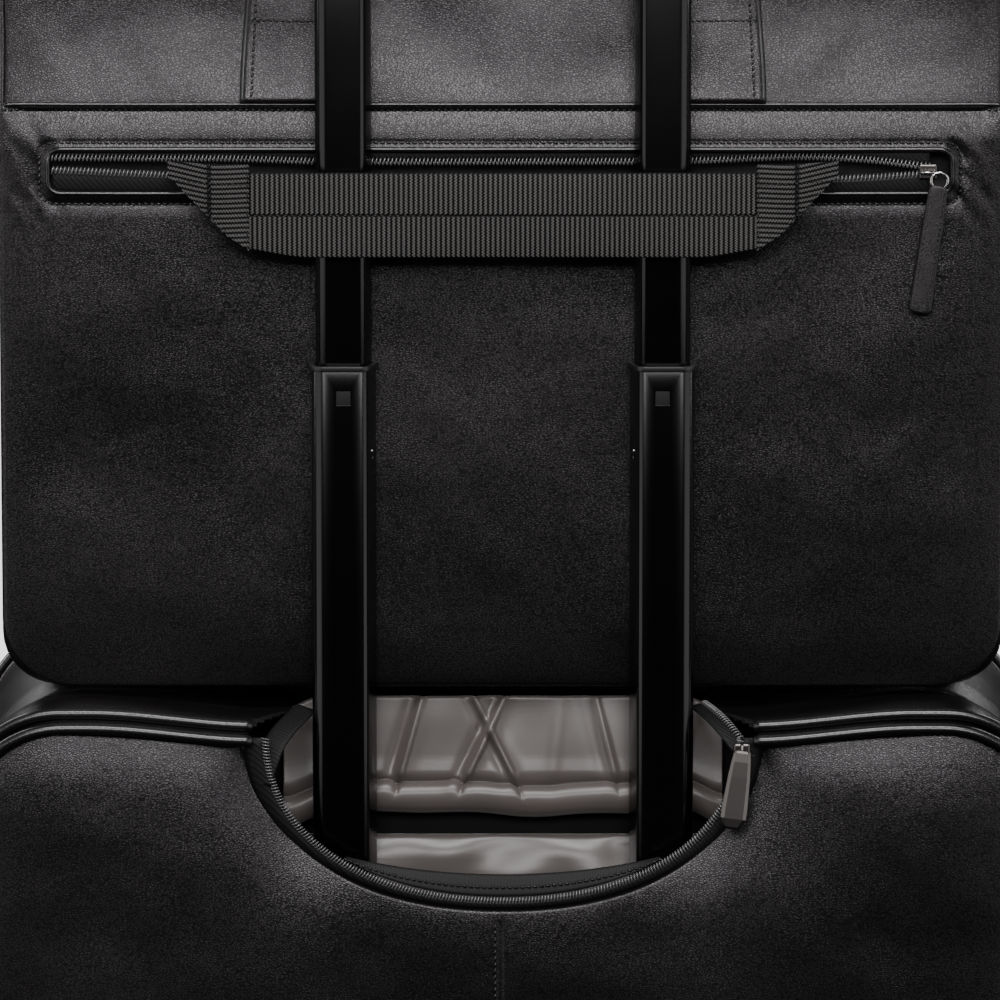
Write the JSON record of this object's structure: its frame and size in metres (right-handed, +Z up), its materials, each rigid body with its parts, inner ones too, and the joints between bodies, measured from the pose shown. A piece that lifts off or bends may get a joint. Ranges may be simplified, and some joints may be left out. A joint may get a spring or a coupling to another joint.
{
  "type": "rolling laptop case",
  "caption": "Black leather rolling case with a laptop briefcase riding on its telescopic handle by a webbing sleeve; zips, handles and wheels work.",
  "frame": {"origin": "on the floor, under the middle of the case", "axes": "+X across the case, +Y towards its front, away from the handle, +Z up"},
  "size_m": [0.458, 0.223, 1.018],
  "materials": {
    "leather": "fine pebbled grain, soft sheen",
    "leather_trim": "smooth, glossy edges",
    "zip_tape": "black woven tape with coil",
    "webbing": "ribbed grosgrain",
    "lining": "taupe satin",
    "board": "stiffener board",
    "gunmetal": "polished gunmetal",
    "steel": "plain",
    "tube_black": "gloss black lacquer",
    "plastic": "satin moulded black",
    "grip_plastic": "satin moulded black",
    "hub_grey": "dark grey nylon",
    "tyre_rubber": "matt black"
  },
  "bodies": {
    "trolley_case": {"rear_panel": "leather", "rear_gusset": "leather", "edge_piping": "leather_trim", "back_board": "board", "well_lining": "lining", "handle_flap": "lining", "flap_zip": "zip_tape", "well_zip": "zip_tape", "well_binding": "webbing", "main_zip_rear": "zip_tape", "base_tray": "plastic", "wheel_housings": "plastic", "wheel_axles": "steel", "socket_tubes": "tube_black", "socket_collars": "plastic", "socket_base": "plastic"},
    "front_half": {"main_zip_front": "zip_tape", "front_gusset": "leather", "front_panel": "leather", "front_pocket": "leather", "top_handle": "leather_trim", "side_handle": "leather_trim", "front_feet": "plastic"},
    "upper_slider": {"main_slider_upper": "gunmetal"},
    "upper_pull": {"main_pull_upper": "leather_trim"},
    "lower_slider": {"main_slider_lower": "gunmetal"},
    "lower_pull": {"main_pull_lower": "leather_trim"},
    "well_slider": {"well_slider": "gunmetal"},
    "well_pull": {"well_pull": "gunmetal"},
    "wheel_left": {"tyre_left": "tyre_rubber", "hub_left": "hub_grey"},
    "wheel_right": {"tyre_right": "tyre_rubber", "hub_right": "hub_grey"},
    "stage_1": {"stage_1_tubes": "tube_black", "stage_1_collars": "plastic"},
    "stage_2": {"stage_2_tubes": "tube_black", "stage_2_collars": "plastic"},
    "stage_3": {"stage_3_tubes": "tube_black", "grip_body": "grip_plastic"},
    "release": {"release_button": "hub_grey", "release_rods": "steel"},
    "laptop_case": {"laptop_rear_panel": "leather", "laptop_yoke": "leather", "laptop_gusset": "leather", "pocket_lining": "lining", "laptop_front_lower": "leather", "laptop_front_pocket": "leather", "laptop_divider": "lining", "laptop_zip_rear": "zip_tape", "sleeve_strap": "webbing", "pocket_zip": "zip_tape"},
    "laptop_front": {"laptop_mouth_gusset": "leather", "laptop_front_upper": "leather", "laptop_zip_front": "zip_tape"},
    "rear_handle": {"laptop_handle_rear": "leather_trim"},
    "front_handle": {"laptop_handle_front": "leather_trim"},
    "zip_left": {"laptop_slider_left": "gunmetal"},
    "zip_right": {"laptop_slider_right": "gunmetal"},
    "pocket_slider": {"pocket_slider": "gunmetal"},
    "pocket_pull": {"pocket_pull": "leather_trim"}
  },
  "joints": [
    {"name": "front_opens", "type": "hinge", "parent": "trolley_case", "child": "front_half", "pos_m": [0, -0.033, 0.022], "axis": [-1, 0, 0], "range_deg": [0, 90]},
    {"name": "upper_zip_slide", "type": "slide", "parent": "trolley_case", "child": "upper_slider", "axis": [0, 0, 1], "range_m": [0, 0.12]},
    {"name": "upper_pull_swing", "type": "hinge", "parent": "upper_slider", "child": "upper_pull", "pos_m": [0.228, -0.03575, 0.2225], "axis": [-1, 0, 0], "range_deg": [0, 60]},
    {"name": "lower_zip_slide", "type": "slide", "parent": "trolley_case", "child": "lower_slider", "axis": [0, 0, -1], "range_m": [0, 0.12]},
    {"name": "lower_pull_swing", "type": "hinge", "parent": "lower_slider", "child": "lower_pull", "pos_m": [0.228, -0.03025, 0.209], "axis": [1, 0, 0], "range_deg": [0, 60]},
    {"name": "well_zip_slide", "type": "slide", "parent": "trolley_case", "child": "well_slider", "axis": [-0.287, 0, -0.9579], "range_m": [0, 0.012]},
    {"name": "well_pull_swing", "type": "hinge", "parent": "well_slider", "child": "well_pull", "pos_m": [0.097, -0.107, 0.393], "axis": [0, 1, 0], "range_deg": [-40, 25]},
    {"name": "wheel_left_spin", "type": "hinge", "parent": "trolley_case", "child": "wheel_left", "pos_m": [-0.197, -0.084, 0.0275], "axis": [1, 0, 0], "continuous": true},
    {"name": "wheel_right_spin", "type": "hinge", "parent": "trolley_case", "child": "wheel_right", "pos_m": [0.197, -0.084, 0.0275], "axis": [1, 0, 0], "continuous": true},
    {"name": "stage_1_slide", "type": "slide", "parent": "trolley_case", "child": "stage_1", "axis": [0, 0, 1], "range_m": [-0.225, 0]},
    {"name": "stage_2_slide", "type": "slide", "parent": "stage_1", "child": "stage_2", "axis": [0, 0, 1], "range_m": [-0.228, 0]},
    {"name": "stage_3_slide", "type": "slide", "parent": "stage_2", "child": "stage_3", "axis": [0, 0, 1], "range_m": [-0.199, 0]},
    {"name": "release_press", "type": "slide", "parent": "stage_3", "child": "release", "axis": [0, 0, -1], "range_m": [0, 0.005], "stiffness_N_per_m": 1500, "springref_m": -0.003},
    {"name": "case_lift", "type": "slide", "parent": "trolley_case", "child": "laptop_case", "axis": [0, 0, 1], "range_m": [0, 0.43]},
    {"name": "laptop_front_opens", "type": "hinge", "parent": "laptop_case", "child": "laptop_front", "pos_m": [0, 0.0285, 0.53], "axis": [-1, 0, 0], "range_deg": [0, 35]},
    {"name": "rear_handle_fold", "type": "hinge", "parent": "laptop_case", "child": "rear_handle", "pos_m": [0, -0.064, 0.733], "axis": [-1, 0, 0], "range_deg": [0, 75]},
    {"name": "front_handle_fold", "type": "hinge", "parent": "laptop_front", "child": "front_handle", "pos_m": [0, 0.022, 0.733], "axis": [-1, 0, 0], "range_deg": [-30, 100]},
    {"name": "left_zip_slide", "type": "slide", "parent": "laptop_case", "child": "zip_left", "axis": [-1, 0, 0], "range_m": [0, 0.14]},
    {"name": "right_zip_slide", "type": "slide", "parent": "laptop_case", "child": "zip_right", "axis": [1, 0, 0], "range_m": [0, 0.14]},
    {"name": "pocket_zip_slide", "type": "slide", "parent": "laptop_case", "child": "pocket_slider", "axis": [-1, 0, 0], "range_m": [0, 0.03]},
    {"name": "pocket_pull_swing", "type": "hinge", "parent": "pocket_slider", "child": "pocket_pull", "pos_m": [0.177, -0.0775, 0.626], "axis": [0, 1, 0], "range_deg": [-30, 30]}
  ]
}
